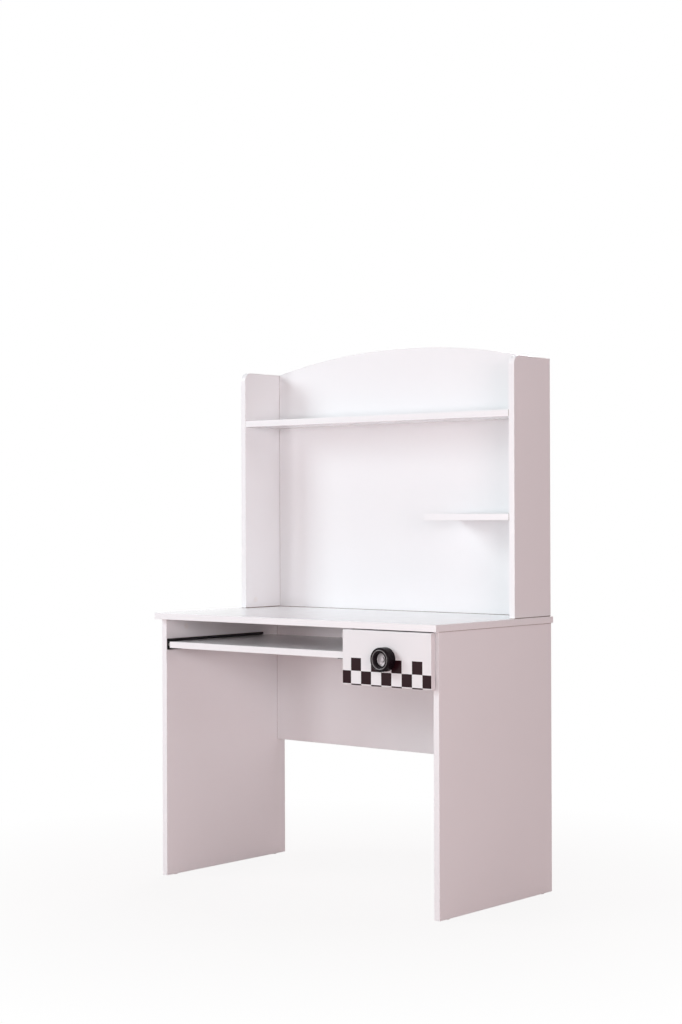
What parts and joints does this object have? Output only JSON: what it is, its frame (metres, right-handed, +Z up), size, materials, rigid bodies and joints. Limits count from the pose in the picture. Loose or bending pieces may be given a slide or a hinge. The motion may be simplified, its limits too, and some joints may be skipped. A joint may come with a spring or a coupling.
{
  "type": "student desk with hutch",
  "caption": "Student desk of white boards with an arched hutch and shelves above, and a keyboard tray and a drawer with a wheel-shaped knob that slide on roller rails.",
  "frame": {"origin": "on the floor, at the middle of the whole part's footprint (drawer knob included)", "axes": "+X to the right of someone who sits at the desk, +Y to the rear, +Z up"},
  "size_m": [1.012, 0.5516, 1.509],
  "materials": {
    "white_board": "white melamine on particle board, fine satin, white edge banding",
    "drawer_face": "white foil on a pressed front, satin, with a dark brown chequer pattern on its face",
    "drawer_board": "white melamine on particle board, fine satin",
    "hardboard": "hardboard with a thin white lacquer on its upper face",
    "black_rail": "black epoxy powder coat on folded steel sheet",
    "nylon": "milk-white nylon",
    "cap_plastic": "white moulded plastic",
    "glide_plastic": "white moulded plastic, worn underneath",
    "cam_zinc": "bare die-cast zinc, dull",
    "bolt_steel": "zinc-plated steel",
    "screw_steel": "zinc-plated steel",
    "rivet_steel": "bright steel",
    "beech": "fluted beech, raw",
    "knob_tyre": "black moulded rubber-like plastic, soft sheen",
    "knob_hub": "silver metallic, satin"
  },
  "bodies": {
    "carcass": {"desktop": "white_board", "left_side_panel": "white_board", "right_side_panel": "white_board", "modesty_panel": "white_board", "drawer_partition": "white_board", "hutch_left_side": "white_board", "hutch_right_side": "white_board", "hutch_back_panel": "white_board", "hutch_long_shelf": "white_board", "hutch_short_shelf": "white_board", "floor_glides": "glide_plastic", "cam_housings": "cam_zinc", "cam_bolts": "bolt_steel", "cam_cover_caps": "cap_plastic", "wooden_dowels": "beech", "connector_screws": "bolt_steel", "rail_screws": "screw_steel", "rail_roller_rivets": "rivet_steel", "tray_left_rail": "black_rail", "tray_right_rail": "black_rail", "drawer_left_rail": "black_rail", "drawer_right_rail": "black_rail"},
    "tray": {"keyboard_tray": "white_board", "tray_left_runner": "black_rail", "tray_right_runner": "black_rail", "tray_runner_screws": "screw_steel", "tray_roller_rivets": "rivet_steel"},
    "drawer": {"drawer_front": "drawer_face", "drawer_box_front": "drawer_board", "drawer_box_back": "drawer_board", "drawer_left_side": "drawer_board", "drawer_right_side": "drawer_board", "drawer_bottom": "hardboard", "drawer_left_runner": "black_rail", "drawer_right_runner": "black_rail", "drawer_runner_screws": "screw_steel", "drawer_roller_rivets": "rivet_steel", "drawer_box_screws": "bolt_steel", "drawer_front_screws": "screw_steel", "knob_tyre": "knob_tyre", "knob_hub": "knob_hub", "knob_screw": "screw_steel"},
    "tray_left_front_roller": {"tray_left_front_roller": "nylon"},
    "tray_left_rear_roller": {"tray_left_rear_roller": "nylon"},
    "tray_right_front_roller": {"tray_right_front_roller": "nylon"},
    "tray_right_rear_roller": {"tray_right_rear_roller": "nylon"},
    "drawer_left_front_roller": {"drawer_left_front_roller": "nylon"},
    "drawer_left_rear_roller": {"drawer_left_rear_roller": "nylon"},
    "drawer_right_front_roller": {"drawer_right_front_roller": "nylon"},
    "drawer_right_rear_roller": {"drawer_right_rear_roller": "nylon"}
  },
  "joints": [
    {"name": "tray_slide", "type": "slide", "parent": "carcass", "child": "tray", "axis": [0, -1, 0], "range_m": [0, 0.3]},
    {"name": "drawer_slide", "type": "slide", "parent": "carcass", "child": "drawer", "axis": [0, -1, 0], "range_m": [0, 0.3]},
    {"name": "tray_left_front_roller_spin", "type": "hinge", "parent": "carcass", "child": "tray_left_front_roller", "pos_m": [-0.47375, -0.21475, 0.661], "axis": [1, 0, 0], "range_deg": [-10, 2310]},
    {"name": "tray_left_rear_roller_spin", "type": "hinge", "parent": "tray", "child": "tray_left_rear_roller", "pos_m": [-0.47325, 0.15825, 0.6555], "axis": [1, 0, 0], "range_deg": [-10, 2310]},
    {"name": "tray_right_front_roller_spin", "type": "hinge", "parent": "carcass", "child": "tray_right_front_roller", "pos_m": [0.18775, -0.21475, 0.661], "axis": [1, 0, 0], "range_deg": [-10, 2310]},
    {"name": "tray_right_rear_roller_spin", "type": "hinge", "parent": "tray", "child": "tray_right_rear_roller", "pos_m": [0.18725, 0.15825, 0.6555], "axis": [1, 0, 0], "range_deg": [-10, 2310]},
    {"name": "drawer_left_front_roller_spin", "type": "hinge", "parent": "carcass", "child": "drawer_left_front_roller", "pos_m": [0.21825, -0.21475, 0.615], "axis": [1, 0, 0], "range_deg": [-10, 2310]},
    {"name": "drawer_left_rear_roller_spin", "type": "hinge", "parent": "drawer", "child": "drawer_left_rear_roller", "pos_m": [0.21875, 0.15825, 0.6095], "axis": [1, 0, 0], "range_deg": [-10, 2310]},
    {"name": "drawer_right_front_roller_spin", "type": "hinge", "parent": "carcass", "child": "drawer_right_front_roller", "pos_m": [0.47375, -0.21475, 0.615], "axis": [1, 0, 0], "range_deg": [-10, 2310]},
    {"name": "drawer_right_rear_roller_spin", "type": "hinge", "parent": "drawer", "child": "drawer_right_rear_roller", "pos_m": [0.47325, 0.15825, 0.6095], "axis": [1, 0, 0], "range_deg": [-10, 2310]}
  ],
  "couplings": [
    {"joint": "tray_left_front_roller_spin", "follows": "tray_slide", "rad_per_m": 133.33},
    {"joint": "tray_left_rear_roller_spin", "follows": "tray_slide", "rad_per_m": 133.33},
    {"joint": "tray_right_front_roller_spin", "follows": "tray_slide", "rad_per_m": 133.33},
    {"joint": "tray_right_rear_roller_spin", "follows": "tray_slide", "rad_per_m": 133.33},
    {"joint": "drawer_left_front_roller_spin", "follows": "drawer_slide", "rad_per_m": 133.33},
    {"joint": "drawer_left_rear_roller_spin", "follows": "drawer_slide", "rad_per_m": 133.33},
    {"joint": "drawer_right_front_roller_spin", "follows": "drawer_slide", "rad_per_m": 133.33},
    {"joint": "drawer_right_rear_roller_spin", "follows": "drawer_slide", "rad_per_m": 133.33}
  ]
}
